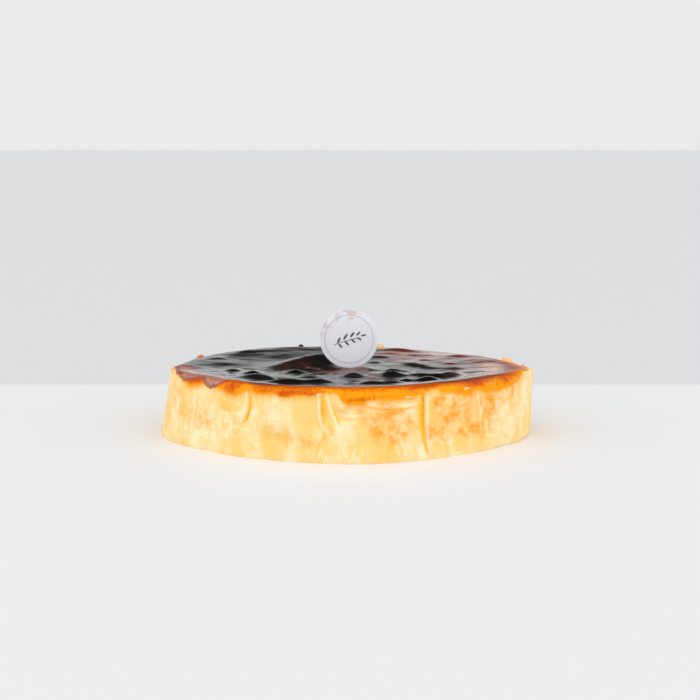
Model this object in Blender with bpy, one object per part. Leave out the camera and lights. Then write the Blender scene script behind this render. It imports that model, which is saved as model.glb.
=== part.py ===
# A baked cheesecake with a burnt, wavy top, and the small round card that stands in its middle.
# The object is in metres with +Z up. The origin is the middle of the underside's outline box.
# The side with the deep paper folds looks towards -Y. The form's own values are millimetres,
# and its angles are degrees from -Y, growing towards +X.

from math import atan2, cos, degrees, hypot, pi, radians, sin

import bmesh
import bpy
import numpy as np

MM = 0.001

# The form is set out round the card's foot. The uneven corners draw the outline's middle away from
# it, so the foot stands this far from the origin.
CARD_X, CARD_Y = 0.9, 1.5

# Body in plan. Each corner is where the lining paper was folded: angle, half width, push outwards.
BODY_RADIUS = 94.5
OUTLINE_CORNERS = (
    (-80, 19, 5.2),
    (1, 20, 3.6),
    (46, 18, -3.0),
    (78, 15, 2.6),
    (120, 22, -1.2),
    (163, 20, 1.2),
    (-150, 22, 2.0),
    (-116, 14, 0.8),
)

# Lean of the side from foot to rim, and the foot that is tucked in under it.
SIDE_LEAN = 2.6
LEAN_CHANGES = ((-82, 34, 3.0), (84, 30, -2.8), (180, 50, 0.8))
FOOT_TUCK = 0.9
FOOT_TUCK_HEIGHT = 1.6
RIGHT_TUCK = 1.4
RIGHT_TUCK_ANGLE = 84
RIGHT_TUCK_WIDTH = 26
RIGHT_TUCK_HEIGHT = 7

# Rim: its mean height, how much higher the front stands than the back, and its swells.
RIM_HEIGHT = 35.2
RIM_TILT = 1.3
RIM_SWELLS = (
    (-62, 16, 0.5),
    (60, 22, 0.7),
    (98, 12, -0.9),
    (138, 24, -0.9),
    (-145, 34, 0.9),
    (-20, 10, -0.3),
)
SHOULDER_HEIGHT = 4.4
SHOULDER_WIDTH = 5.4
SHOULDER_CHANGES = ((0, 46, 4.4), (-86, 13, -2.8), (88, 13, -2.6))

# Flakes of skin that stand up from the rim's outer edge: angle, half width in degrees, height over
# the rim, and how far over the shoulder they fade out, of its 90 degrees.
RIM_FLAKES = (
    (-82, 7.0, 0.4, 26),
    (-116.8, 3.2, 0.3, 26),
    (169, 2.4, 1.2, 26),
    (-162.6, 1.4, 0.7, 26),
    (109.5, 5.6, 0.9, 26),
    (78.5, 5.4, 0.8, 44),
    (97, 1.4, 0.5, 26),
    (26.5, 2.8, -1.7, 26),
)

# Folds pressed in by the paper. Heights, angles and strengths run down each fold, proud is how far
# one side stands out over the other, groove is how deep the other side is sunk, and facing is the
# proud side.
PAPER_FOLDS = (
    {"heights": (35, 28, 24, 19, 15, 7, 1), "angles": (-32.4, -32.5, -32.7, -33.7, -35.2, -38.3, -39.8),
     "strengths": (0.4, 0.9, 1.0, 0.9, 0.25, 0.2, 0.1), "proud": 1.3, "groove": 2.0, "facing": -1},
    {"heights": (36, 31, 24, 17, 12, 8, 1), "angles": (-8.9, -8.4, -8.3, -7.4, -7.6, -9.3, -10.6),
     "strengths": (0.4, 0.9, 1.0, 0.8, 0.5, 0.4, 0.3), "proud": 1.0, "groove": 1.8, "facing": -1},
    {"heights": (36, 27, 20, 14), "angles": (-6.7, -5.2, -3.2, -1.6),
     "strengths": (0.3, 0.9, 0.9, 0.2), "proud": 0.6, "groove": 1.0, "facing": -1},
    {"heights": (37, 30, 19, 12, 5.5, 1), "angles": (23.9, 23.8, 23.4, 23.6, 24.3, 24.7),
     "strengths": (0.9, 1.0, 1.0, 0.7, 0.5, 0.2), "proud": 1.6, "groove": 2.1, "facing": 1},
    {"heights": (36, 27, 21, 6), "angles": (44.0, 44.9, 46.1, 45.7),
     "strengths": (0.4, 0.6, 0.5, 0.2), "proud": 0.7, "groove": 1.1, "facing": 1},
    {"heights": (30, 19, 4), "angles": (-56.9, -56.7, -57.4),
     "strengths": (0.3, 0.7, 0.3), "proud": 0.5, "groove": 0.8, "facing": -1},
    {"heights": (32, 20, 3), "angles": (-131, -128, -126),
     "strengths": (0.4, 0.9, 0.2), "proud": 0.9, "groove": 1.5, "facing": 1},
    {"heights": (33, 15, 3), "angles": (-164, -166, -171),
     "strengths": (0.4, 0.9, 0.2), "proud": 1.0, "groove": 1.6, "facing": -1},
    {"heights": (32, 18, 2), "angles": (122, 124, 123),
     "strengths": (0.4, 0.8, 0.2), "proud": 0.8, "groove": 1.3, "facing": 1},
    {"heights": (33, 15, 3), "angles": (151, 153, 157),
     "strengths": (0.4, 0.9, 0.2), "proud": 0.9, "groove": 1.5, "facing": -1},
)
FOLD_EDGE = 0.5
PROUD_SPREAD = 7.0
GROOVE_SPREAD = 2.4
FOLD_FADE = 3.0

# Strip of skin that laps over the front face just under the rim.
LAP_ANGLES = (-3.1, 4.6, 9.6, 13.7, 21.4)
LAP_HEIGHTS = (30.7, 28.4, 26.5, 25.9, 27.4)
LAP_PROUD = 1.2
LAP_EDGE = 0.5
LAP_DEPTH = 3.4
LAP_END = 2.5

# Faint upright wrinkles round the whole side: waves round the cake, start angle, depth.
SIDE_WRINKLES = ((9, 20, 0.45), (17, 75, 0.35), (29, 10, 0.22), (47, 140, 0.12))
WRINKLE_DRIFT = 0.9
WRINKLE_RISE = 9

# Burnt top: the level of its middle, and the share of the radius where it starts to rise to its
# rim. A wave has its middle x and y, its half length, the half width of its near and of its far
# side, the heading of its length from +X, and its height.
TOP_MIDDLE = 33.6
DISH_EDGE = 0.72
TOP_WAVES = (
    (-35, 2, 8, 3, 9, 66, 0.6),
    (-28, 10, 14, 7, 12, 68, 3.0),
    (-14, 23, 13, 9, 13, 50, 4.1),
    (-19, 7, 6, 2.5, 3, 70, 0.7),
    (-12, -8, 14, 10, 10, 30, -1.0),
    (-50, -21, 3.6, 3.6, 5, 35, 1.8),
    (-61, -9, 3.4, 3.6, 5, 0, 1.0),
    (-65, 14, 11, 8, 8, -8, 0.75),
    (-47, -44, 10.5, 6.4, 6, 36, 3.0),
    (30, -14, 9, 2.6, 5, -63, 0.9),
    (-34, -41, 3.5, 6, 6, 60, -0.9),
    (-30, -67, 8.5, 5.5, 8, -6, 2.8),
    (-14, -67, 8.5, 5.5, 8, 3, 3.2),
    (-28, -16, 4.2, 4, 5, 8, 1.8),
    (-20, -4, 4, 3, 4, 19, 0.9),
    (-20, -34, 4.6, 2.4, 3, 0, 0.7),
    (2, -34, 6, 5.2, 7, 0, 2.9),
    (7, -6, 5, 4, 5, -9, 1.5),
    (21.5, -28, 6.2, 4.0, 5.5, 0, 2.4),
    (22, -9, 2.4, 3, 4, -26, 1.0),
    (38.5, -29, 8, 3.2, 6, -50, 1.3),
    (46, -34, 5, 3.6, 6, 18, 1.3),
    (38, 9, 15, 3.4, 9, -60, 1.4),
    (55, -1, 12, 3.6, 8, 50, 0.9),
    (52, -27, 6, 6, 8, 10, 1.8),
    (29, -47, 2.8, 2.5, 4, 0, 1.1),
    (40, -47, 5.6, 3.8, 6, -6, 2.3),
    (9.5, -67, 7, 4, 6, 0, 2.2),
    (21.5, -66, 7, 4, 6, 4, 2.0),
    (30, 74, 11, 6, 7, 0, 1.3),
    (60, 51, 7, 6, 6, -10, 0.8),
    (70, 35, 6, 5, 6, -31, 0.2),
    (41, 33, 3.6, 3, 4, 0, 0.45),
    (55, 22, 3, 2.5, 3, 0, 0.35),
    (17, 44, 5, 3.6, 5, 0, 0.6),
    (14, 22, 3.4, 3, 4, 0, 0.6),
    (38, 52, 7, 4, 5, 6, 0.5),
    (24, 58, 6, 3, 4, 0, 0.5),
    (-60, 58, 7, 5, 6, 11, 0.8),
    (-72, 33, 5, 4, 5, -20, 0.5),
    (2, 1, 10, 7, 7, 0, 0.8),
    (-25, 76, 46, 42, 16, 8, 1.3),
    (66, -14, 9, 5, 7, 24, 0.35),
    (74, 8, 8, 5, 6, -30, 0.15),
    (-30, -52, 6, 5, 5, 60, -0.7),
    (12, -48, 5, 5, 5, 0, -0.6),
    (-70, -20, 14, 3, 4, -40, 0.5),
    (-74, -10, 12, 2.4, 3, -46, 0.4),
    (-62, -32, 12, 2.4, 3, -38, 0.4),
    (58, 10, 22, 14, 14, 0, -0.6),
    (-33, 44, 14, 10, 10, 10, 1.2),
    (11, -27, 3.6, 2.6, 5, 20, 0.9),
)
WAVE_EDGE = 0.10

# Round card that stands in the middle of the top, on edge, with its face to the front.
CARD_RADIUS = 15.5
CARD_THICKNESS = 1.2
CARD_FOOT = 33.8
CARD_BEVEL = 0.2
CARD_SIDES = 72
CARD_SLOT_GAP = 0.3

# Mesh: grid cells across the top, rows up the side and over the shoulder.
TOP_CELLS = 48
SIDE_ROWS = 10
SHOULDER_ROWS = 6
COLUMNS = 4 * TOP_CELLS
FOLD_COLUMN_HALF_GAP = 0.45

# Edges sharper than these angles stay crisp in the shading.
CAKE_CREASE_ANGLE = 50
CARD_CREASE_ANGLE = 30
WELD_DISTANCE = 0.01

CUSTARD = (0.90, 0.72, 0.36, 1.0)
CARAMEL = (0.70, 0.26, 0.03, 1.0)
BURNT = (0.030, 0.012, 0.008, 1.0)
CARD_WHITE = (0.78, 0.79, 0.82, 1.0)


def clear_objects():
    for item in list(bpy.data.objects):
        bpy.data.objects.remove(item, do_unlink=True)


def material(name, colour, roughness):
    made = bpy.data.materials.new(name)
    made.use_nodes = True
    shader = made.node_tree.nodes["Principled BSDF"]
    shader.inputs["Base Color"].default_value = colour
    shader.inputs["Roughness"].default_value = roughness
    shader.inputs["Metallic"].default_value = 0.0
    made.diffuse_color = colour
    return made


def bell(offset, width):
    return np.exp(-((offset / width) ** 2))


def blunt(offset, width):
    # As a bell, but with a flatter top and steeper ends.
    return np.exp(-(np.abs(offset / width) ** 4))


def eased(value, low, high):
    # From 0 at low to 1 at high, flat at both ends.
    share = np.clip((value - low) / (high - low), 0, 1)
    return share * share * (3 - 2 * share)


def turn(angle, start):
    # Shortest turn in degrees from start to angle.
    return (angle - start + 180) % 360 - 180


def summed(angle, level, swells):
    # A level round the cake with its local swells: angle, half width, rise.
    total = level + 0.0 * angle
    for at, width, rise in swells:
        total = total + rise * bell(turn(angle, at), width)
    return total


def rim_height(angle):
    return summed(angle, RIM_HEIGHT, RIM_SWELLS) + RIM_TILT * np.cos(np.radians(angle))


def shoulder_width(angle):
    return summed(angle, SHOULDER_WIDTH, SHOULDER_CHANGES)


def fold_relief(angle, height, fold):
    # One side of the fold stands proud with a crisp edge, and the other is sunk beside it.
    along = np.interp(height, fold["heights"][::-1], fold["angles"][::-1])
    across = np.radians(turn(angle, along)) * BODY_RADIUS * fold["facing"]
    proud_side = 0.5 + 0.5 * np.tanh(across / FOLD_EDGE)
    raised = fold["proud"] * np.exp(-np.abs(across) / PROUD_SPREAD)
    sunk = fold["groove"] * np.exp(-np.abs(across) / GROOVE_SPREAD)
    top, bottom = fold["heights"][0], fold["heights"][-1]
    fade = np.clip((height - bottom) / FOLD_FADE, 0, 1) * np.clip((top - height) / FOLD_FADE, 0, 1)
    strength = fade * np.interp(height, fold["heights"][::-1], fold["strengths"][::-1])
    return strength * (proud_side * raised - (1 - proud_side) * sunk)


def lap_relief(angle, height):
    # The lapping strip: proud above its lower edge, and thinning out into the shoulder.
    edge = np.interp(angle, LAP_ANGLES, LAP_HEIGHTS)
    left_end = np.clip(turn(angle, LAP_ANGLES[0]) / LAP_END, 0, 1)
    right_end = np.clip(turn(LAP_ANGLES[-1] + LAP_END, angle) / LAP_END, 0, 1)
    above = 0.5 + 0.5 * np.tanh((height - edge) / LAP_EDGE)
    return LAP_PROUD * left_end * right_end * above * np.exp(-np.maximum(height - edge, 0) / LAP_DEPTH)


def wrinkle_relief(angle, height):
    relief = 0.0 * angle
    for count, start, depth in SIDE_WRINKLES:
        drift = WRINKLE_DRIFT * np.sin(height / WRINKLE_RISE + count)
        relief = relief + depth * np.sin(np.radians(count * angle + start) + drift)
    return relief


def side_radius(angle, height, fold_share=1.0):
    radius = summed(angle, BODY_RADIUS, OUTLINE_CORNERS)
    radius = radius - summed(angle, SIDE_LEAN, LEAN_CHANGES) * height / RIM_HEIGHT
    radius = radius - FOOT_TUCK * np.exp(-height / FOOT_TUCK_HEIGHT)
    tuck = RIGHT_TUCK * bell(turn(angle, RIGHT_TUCK_ANGLE), RIGHT_TUCK_WIDTH)
    radius = radius - tuck * np.exp(-height / RIGHT_TUCK_HEIGHT)
    radius = radius + wrinkle_relief(angle, height) + fold_share * lap_relief(angle, height)
    for fold in PAPER_FOLDS:
        radius = radius + fold_share * fold_relief(angle, height, fold)
    return radius


def column_angles(angle, height):
    # Even columns, drawn aside so that two of them run down each fold, one on either edge of it.
    step = 360 / COLUMNS
    half_gap = degrees(FOLD_COLUMN_HALF_GAP / BODY_RADIUS)
    knots = []
    for fold in PAPER_FOLDS:
        left_column = step * round(np.mean(fold["angles"]) / step - 0.5)
        along = float(np.interp(height, fold["heights"][::-1], fold["angles"][::-1]))
        knots.append((left_column, along - half_gap))
        knots.append((left_column + step, along + half_gap))
    knots.sort()
    evens, drawn = np.array(knots).T
    evens = np.concatenate((evens[-2:] - 360, evens, evens[:2] + 360))
    drawn = np.concatenate((drawn[-2:] - 360, drawn, drawn[:2] + 360))
    return np.interp(turn(angle, 0), evens, drawn)


def place(angle, radius, height):
    turned = np.radians(angle)
    x, y = CARD_X + radius * np.sin(turned), CARD_Y - radius * np.cos(turned)
    return np.stack((x, y, height + 0.0 * radius), axis=-1) * MM


def shoulder_ring(angle, share):
    # The rounded rim, from the top of the side (0) to the edge of the top (1).
    rim = rim_height(angle)
    start = rim - SHOULDER_HEIGHT
    swing = share * pi / 2
    radius = side_radius(angle, start, 1 - share) - shoulder_width(angle) * (1 - cos(swing))
    height = start + SHOULDER_HEIGHT * sin(swing)
    for at, width, stand, reach in RIM_FLAKES:
        lip = blunt(turn(angle, at), width) * bell(degrees(swing), reach)
        height = height + lip * (rim + stand - height)
    return radius, height


def wave_height(x, y, wave):
    middle_x, middle_y, length, near_width, far_width, heading, height = wave
    along = (x - middle_x) * cos(radians(heading)) + (y - middle_y) * sin(radians(heading))
    across = (y - middle_y) * cos(radians(heading)) - (x - middle_x) * sin(radians(heading))
    return height * bell(along, length) * bell(across, np.where(across < 0, near_width, far_width))


def top_point(angle, share):
    # A point of the burnt top: share runs from its middle (0) to the inner edge of the rim (1).
    edge_radius, edge_height = shoulder_ring(angle, 1.0)
    radius = share * edge_radius
    x = radius * np.sin(np.radians(angle))
    y = -radius * np.cos(np.radians(angle))
    height = TOP_MIDDLE + (edge_height - TOP_MIDDLE) * eased(share, DISH_EDGE, 1)
    calm = eased(1 - share, 0, WAVE_EDGE)
    for wave in TOP_WAVES:
        height = height + calm * wave_height(x, y, wave)
    return radius, height


def square_to_disc(across, along):
    # Even square cells drawn out to a disc: returns the angle and the share of the radius.
    if abs(across) > abs(along):
        share, sweep = across, (pi / 4) * along / across
    elif along != 0:
        share, sweep = along, (pi / 2) - (pi / 4) * across / along
    else:
        return 0.0, 0.0
    x, y = share * cos(sweep), share * sin(sweep)
    return degrees(atan2(x, -y)), hypot(x, y)


def add_loop(mesh, points):
    return [mesh.verts.new(point) for point in points]


def side_and_shoulder(mesh):
    # Closed rings of points, from the foot to the inner edge of the rim.
    even = np.array([turn(360 * i / COLUMNS, 0) for i in range(COLUMNS)])
    rings = []
    for row in range(SIDE_ROWS):
        share = row / SIDE_ROWS
        level = RIM_HEIGHT * share
        angle = column_angles(even, level)
        height = share * (rim_height(angle) - SHOULDER_HEIGHT)
        rings.append(add_loop(mesh, place(angle, side_radius(angle, height), height)))
    angle = column_angles(even, RIM_HEIGHT)
    for row in range(SHOULDER_ROWS + 1):
        radius, height = shoulder_ring(angle, row / SHOULDER_ROWS)
        rings.append(add_loop(mesh, place(angle, radius, height)))
    return rings


def skin(mesh, rings, slot_of_row):
    for row, (lower, upper) in enumerate(zip(rings, rings[1:])):
        for i in range(COLUMNS):
            j = (i + 1) % COLUMNS
            face = mesh.faces.new((lower[i], lower[j], upper[j], upper[i]))
            face.material_index = slot_of_row(row)


def burnt_top(mesh, edge_ring):
    # Square cells across the disc, sewn to the rim's inner ring along their outer edge.
    grid = {}
    for i in range(TOP_CELLS + 1):
        for j in range(TOP_CELLS + 1):
            angle, share = square_to_disc(2 * i / TOP_CELLS - 1, 2 * j / TOP_CELLS - 1)
            if i in (0, TOP_CELLS) or j in (0, TOP_CELLS):
                grid[i, j] = edge_ring[round(angle % 360 * COLUMNS / 360) % COLUMNS]
                continue
            bent = column_angles(np.array([angle]), RIM_HEIGHT)
            radius, height = top_point(bent, share)
            grid[i, j] = mesh.verts.new(place(bent, radius, height)[0])
    for i in range(TOP_CELLS):
        for j in range(TOP_CELLS):
            face = mesh.faces.new((grid[i, j], grid[i + 1, j], grid[i + 1, j + 1], grid[i, j + 1]))
            face.material_index = 2


def new_object(name, mesh, materials):
    data = bpy.data.meshes.new(name)
    mesh.to_mesh(data)
    mesh.free()
    for made in materials:
        data.materials.append(made)
    made_object = bpy.data.objects.new(name, data)
    bpy.context.scene.collection.objects.link(made_object)
    return made_object


def cheesecake():
    mesh = bmesh.new()
    rings = side_and_shoulder(mesh)
    skin(mesh, rings, lambda row: 0 if row < SIDE_ROWS else 1)
    burnt_top(mesh, rings[-1])
    mesh.faces.new(rings[0][::-1])
    bmesh.ops.triangulate(mesh, faces=[face for face in mesh.faces if len(face.verts) == 4])
    materials = (
        material("custard_side", CUSTARD, 0.5),
        material("caramel_rim", CARAMEL, 0.3),
        material("burnt_top", BURNT, 0.25),
    )
    cake = new_object("cheesecake", mesh, materials)
    cake.data.shade_smooth()
    cake.data.set_sharp_from_angle(angle=radians(CAKE_CREASE_ANGLE))
    return cake


def standing_disc(name, radius, thickness, bevel, materials):
    # A disc on edge, its faces to the front and back, turned from its half profile.
    half = thickness / 2
    profile = ((0, -half), (radius - bevel, -half), (radius, bevel - half),
               (radius, half - bevel), (radius - bevel, half), (0, half))
    mesh = bmesh.new()
    points = [mesh.verts.new((out * MM, depth * MM, 0)) for out, depth in profile]
    edges = [mesh.edges.new(pair) for pair in zip(points, points[1:])]
    bmesh.ops.spin(mesh, geom=points + edges, cent=(0, 0, 0), axis=(0, 1, 0),
                   angle=2 * pi, steps=CARD_SIDES, use_duplicate=False)
    bmesh.ops.remove_doubles(mesh, verts=mesh.verts, dist=WELD_DISTANCE * MM)
    bmesh.ops.recalc_face_normals(mesh, faces=mesh.faces)
    disc = new_object(name, mesh, materials)
    disc.location = (CARD_X * MM, CARD_Y * MM, (CARD_FOOT + CARD_RADIUS) * MM)
    disc.data.shade_smooth()
    disc.data.set_sharp_from_angle(angle=radians(CARD_CREASE_ANGLE))
    return disc


def topper_card():
    return standing_disc("topper_card", CARD_RADIUS, CARD_THICKNESS, CARD_BEVEL,
                         (material("white_card", CARD_WHITE, 0.45),))


def slot_for_card(cake):
    # The shallow slot that the card's foot stands in, a little wider than the card all round.
    cutter = standing_disc("card_slot", CARD_RADIUS + CARD_SLOT_GAP,
                           CARD_THICKNESS + 2 * CARD_SLOT_GAP, CARD_BEVEL, ())
    cutter.hide_render = True
    cutter.display_type = "WIRE"
    slot = cake.modifiers.new("card slot", "BOOLEAN")
    slot.operation = "DIFFERENCE"
    slot.solver = "EXACT"
    slot.object = cutter


clear_objects()
cake_body = cheesecake()
slot_for_card(cake_body)
topper_card()
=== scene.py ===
# A baked cheesecake: pale custard side, caramel rim, burnt and glossy top, and the small card in its middle.
# The cake is worked out in millimetres and in degrees from -Y, growing towards +X.
from math import cos, pi, radians, sin

import bpy
import numpy as np
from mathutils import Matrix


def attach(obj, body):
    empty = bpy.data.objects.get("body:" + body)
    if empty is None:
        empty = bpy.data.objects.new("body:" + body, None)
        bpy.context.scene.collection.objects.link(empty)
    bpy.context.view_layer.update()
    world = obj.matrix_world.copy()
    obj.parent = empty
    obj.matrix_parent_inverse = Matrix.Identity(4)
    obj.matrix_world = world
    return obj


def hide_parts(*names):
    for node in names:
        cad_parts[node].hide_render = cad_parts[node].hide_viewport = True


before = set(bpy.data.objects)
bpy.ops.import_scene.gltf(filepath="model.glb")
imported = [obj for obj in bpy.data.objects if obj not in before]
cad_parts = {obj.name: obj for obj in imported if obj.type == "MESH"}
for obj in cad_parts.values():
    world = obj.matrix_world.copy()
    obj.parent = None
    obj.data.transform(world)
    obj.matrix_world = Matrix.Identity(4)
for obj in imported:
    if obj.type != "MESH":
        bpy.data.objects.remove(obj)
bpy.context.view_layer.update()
mm = 0.001


# Shader maths written as Python expressions

class Value:
    # A number, colour or vector on its way through a material's nodes.
    def __init__(self, finish, socket):
        self.finish = finish
        self.socket = socket

    def math(self, operation, first, second):
        return self.finish.node("ShaderNodeMath", {"operation": operation}, {0: first, 1: second})

    def __add__(self, other):
        return self.math("ADD", self, other)

    def __radd__(self, other):
        return self.math("ADD", other, self)

    def __sub__(self, other):
        return self.math("SUBTRACT", self, other)

    def __rsub__(self, other):
        return self.math("SUBTRACT", other, self)

    def __mul__(self, other):
        return self.math("MULTIPLY", self, other)

    def __rmul__(self, other):
        return self.math("MULTIPLY", other, self)

    def __truediv__(self, other):
        return self.math("DIVIDE", self, other)


class Finish:
    # A material, and the one way to add nodes to it.
    def __init__(self, name, constants):
        self.material = bpy.data.materials.new(name)
        self.material.use_nodes = True
        self.tree = self.material.node_tree
        self.shader = self.tree.nodes["Principled BSDF"]
        for label, value in constants.items():
            self.shader.inputs[label].default_value = value

    def feed(self, target, value):
        if isinstance(value, Value):
            self.tree.links.new(value.socket, target)
        else:
            target.default_value = value

    def node(self, kind, settings, sockets, output=0):
        made = self.tree.nodes.new(kind)
        for name, value in settings.items():
            setattr(made, name, value)
        for name, value in sockets.items():
            self.feed(made.inputs[name], value)
        return Value(self, made.outputs[output])

    def surface(self, sockets):
        for name, value in sockets.items():
            self.feed(self.shader.inputs[name], value)

    def place(self):
        return self.node("ShaderNodeTexCoord", {}, {}, "Object")

    def measured(self, name):
        # A number that the mesh carries at each of its points.
        return self.node("ShaderNodeAttribute", {"attribute_name": name}, {}, "Fac")

    def stretched(self, vector, scale):
        return self.node("ShaderNodeVectorMath", {"operation": "MULTIPLY"}, {0: vector, 1: scale})

    def noise(self, vector, grain, detail=3.0, rough=0.5, distortion=0.0):
        # Soft noise from 0 to 1 with lumps about one grain across, in millimetres.
        sockets = {"Vector": vector, "Scale": 1 / (grain * mm), "Detail": detail,
                   "Roughness": rough, "Distortion": distortion}
        return self.node("ShaderNodeTexNoise", {}, sockets)

    def ramp(self, value, low, high):
        # From 0 below low to 1 above high, eased at both ends.
        sockets = {"Value": value, "From Min": low, "From Max": high}
        return self.node("ShaderNodeMapRange", {"interpolation_type": "SMOOTHSTEP"}, sockets)

    def mix(self, share, first, second):
        sockets = {0: share, 6: first, 7: second}
        return self.node("ShaderNodeMix", {"data_type": "RGBA"}, sockets, 2)

    def bump(self, height, depth, strength=1.0):
        # Relief from a height of 0 to 1 that stands for so many millimetres.
        sockets = {"Height": height, "Distance": depth * mm, "Strength": strength}
        return self.node("ShaderNodeBump", {}, sockets)


def colour(red, green, blue):
    # The renderer's own colour for a display colour of 0 to 255.
    shares = np.array((red, green, blue)) / 255
    linear = np.where(shares <= 0.04045, shares / 12.92, ((shares + 0.055) / 1.055) ** 2.4)
    return (*linear.tolist(), 1.0)


def addObject(name, data):
    made = bpy.data.objects.new(name, data)
    bpy.context.scene.collection.objects.link(made)
    return made


# Cake: its form

cake = {
    "topCells": 176,            # grid cells across the burnt top
    "sideRows": 62,
    "shoulderRows": 20,
    "footX": 0.9,               # the card's foot, which the form is set out from
    "footY": 1.5,
    "bodyRadius": 94.5,
    "corners": (                # where the lining paper was folded: angle, half width, push outwards
        (-80, 19, 5.2), (1, 20, 3.6), (46, 18, -3.0), (78, 15, 2.6),
        (120, 22, -1.2), (163, 20, 1.2), (-150, 22, 2.0), (-116, 14, 0.8),
    ),
    "lean": 2.6,                # how far the side leans in from foot to rim
    "leanChanges": ((-82, 34, 3.0), (84, 30, -2.8), (180, 50, 0.8)),
    "footTuck": 0.9,
    "footTuckHeight": 1.6,
    "rightTuck": 1.4,
    "rightTuckAngle": 84,
    "rightTuckWidth": 26,
    "rightTuckHeight": 7,
    "rimHeight": 35.2,
    "rimTilt": 1.3,             # how much higher the front of the rim stands than the back
    "rimSwells": (
        (-62, 16, 0.5), (60, 22, 0.7), (98, 12, -0.9), (138, 24, -0.9), (-145, 34, 0.9), (-20, 10, -0.3),
    ),
    "shoulderHeight": 4.4,
    "shoulderWidth": 5.4,
    "shoulderChanges": ((0, 46, 4.4), (-86, 13, -2.8), (88, 13, -2.6)),
    # Skin that stands up from the rim: angle, half width, height over it, reach in, paleness.
    "flakes": (
        (-82, 7.0, 0.4, 26, 1), (-116.8, 3.2, 0.3, 26, 0.3), (169, 2.4, 1.2, 26, 1),
        (-162.6, 1.4, 0.7, 26, 0), (109.5, 5.6, 0.9, 26, 1), (78.5, 5.4, 0.8, 44, 1),
        (97, 1.4, 0.5, 26, 0.3), (26.5, 2.8, -1.7, 26, 0),
    ),
    "topMiddle": 33.6,
    "dishEdge": 0.72,           # share of the radius where the top starts to rise to its rim
    "waveEdge": 0.10,
    "sideUneven": 0.30,         # lumps of the side
    "lumpRise": 9,              # the lumps are full above a ninth of the side
    "topUneven": 0.17,          # small waves of the burnt skin
    "burnFade": 3.2,            # how wide the burnt skin's edge fades out
    "flakeSpread": 1.1,         # how far the pale part of a flake reaches beside it
    "flakeDepth": 3.0,          # and below the rim
    "creaseAngle": 60,
}

# Lumps of the side and small waves of the top: grain along x, y and z, seed, share.
sideLumps = (((9, 9, 12), 1, 1.0), ((4, 4, 5), 2, 0.5))
topRipples = (((11, 7, 9), 5, 1.0), ((5, 3.4, 9), 6, 0.5))

# Folds pressed in by the lining paper. Heights, angles and strengths run down each one, proud is how
# far one side stands out, groove is how deep the other is sunk, facing is the proud side, and tone is
# how wide the painted shade in the groove lies.
foldKeys = ("heights", "angles", "strengths", "proud", "groove", "facing", "tone")


def foldTable(*rows):
    return [dict(zip(foldKeys, row)) for row in rows]


paperFolds = foldTable(
    ((35, 28, 24, 19, 15, 7, 1), (-32.4, -32.5, -32.7, -33.7, -35.2, -38.3, -39.8),
     (0.4, 0.9, 1.0, 0.9, 0.25, 0.2, 0.1), 1.3, 2.0, -1, 1.8),
    ((36, 31, 24, 17, 12, 8, 1), (-8.9, -8.4, -8.3, -7.4, -7.6, -9.3, -10.6),
     (0.4, 0.9, 1.0, 0.8, 0.5, 0.4, 0.3), 1.0, 1.8, -1, 1.9),
    ((36, 27, 20, 14), (-6.7, -5.2, -3.2, -1.6), (0.3, 0.9, 0.9, 0.2), 0.6, 1.0, -1, 0.9),
    ((37, 30, 19, 12, 5.5, 1), (23.9, 23.8, 23.4, 23.6, 24.3, 24.7),
     (0.9, 1.0, 1.0, 0.7, 0.5, 0.2), 1.6, 2.1, 1, 3.4),
    ((36, 27, 21, 6), (44.0, 44.9, 46.1, 45.7), (0.4, 0.6, 0.5, 0.2), 0.7, 1.1, 1, 1.0),
    ((30, 19, 4), (-56.9, -56.7, -57.4), (0.3, 0.7, 0.3), 0.5, 0.8, -1, 1.0),
    ((32, 20, 3), (-131, -128, -126), (0.4, 0.9, 0.2), 0.9, 1.5, 1, 1.8),
    ((33, 15, 3), (-164, -166, -171), (0.4, 0.9, 0.2), 1.0, 1.6, -1, 1.6),
    ((32, 18, 2), (122, 124, 123), (0.4, 0.8, 0.2), 0.8, 1.3, 1, 1.8),
    ((33, 15, 3), (151, 153, 157), (0.4, 0.9, 0.2), 0.9, 1.5, -1, 1.6),
)
# Short creases between the folds.
smallCreases = foldTable(
    ((22, 17.5, 13), (-7.6, -7.5, -7.2), (0.6, 1.0, 0.5), 0.5, 1.0, 1, 1.4),
    ((19, 15, 11), (-6.8, -5.5, -4.5), (0.4, 0.9, 0.3), 0.4, 0.8, -1, 0.8),
    ((19, 13, 7), (48.3, 48.8, 49.2), (0.4, 0.8, 0.4), 0.4, 0.6, 1, 0.9),
    ((27, 20, 13), (54.1, 54.2, 54.3), (0.3, 0.5, 0.2), 0.3, 0.5, 1, 0.9),
    ((28, 25, 21), (64.7, 64.4, 63.8), (0.4, 0.8, 0.2), 0.3, 0.5, 1, 0.9),
    ((27, 22, 15), (-66, -66.5, -67), (0.4, 0.7, 0.2), 0.3, 0.6, -1, 1.0),
    ((31, 24, 12), (-75, -75.5, -76), (0.4, 0.7, 0.3), 0.4, 0.6, -1, 1.2),
    ((26, 20, 8), (-46, -45, -44), (0.3, 0.5, 0.2), 0.3, 0.5, 1, 1.2),
    ((13, 8, 2), (14.5, 15.5, 16), (0.3, 0.6, 0.3), 0.3, 0.5, 1, 1.0),
)
foldEdge = 0.4
proudSpread = 7.0
grooveSpread = 2.4
foldFade = 3.0
# Painted shade in a fold's groove and painted highlight on its lit edge: place and width in mm, and the
# least strength.
paintedFoldLight = {"shift": 0.05, "edge": 0.22, "litEdge": 0.6, "litWidth": 0.7, "least": 0.1}
foldColumns = (-0.6, -0.2, 0.2, 0.6)    # where four columns of the mesh run beside each fold
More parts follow.
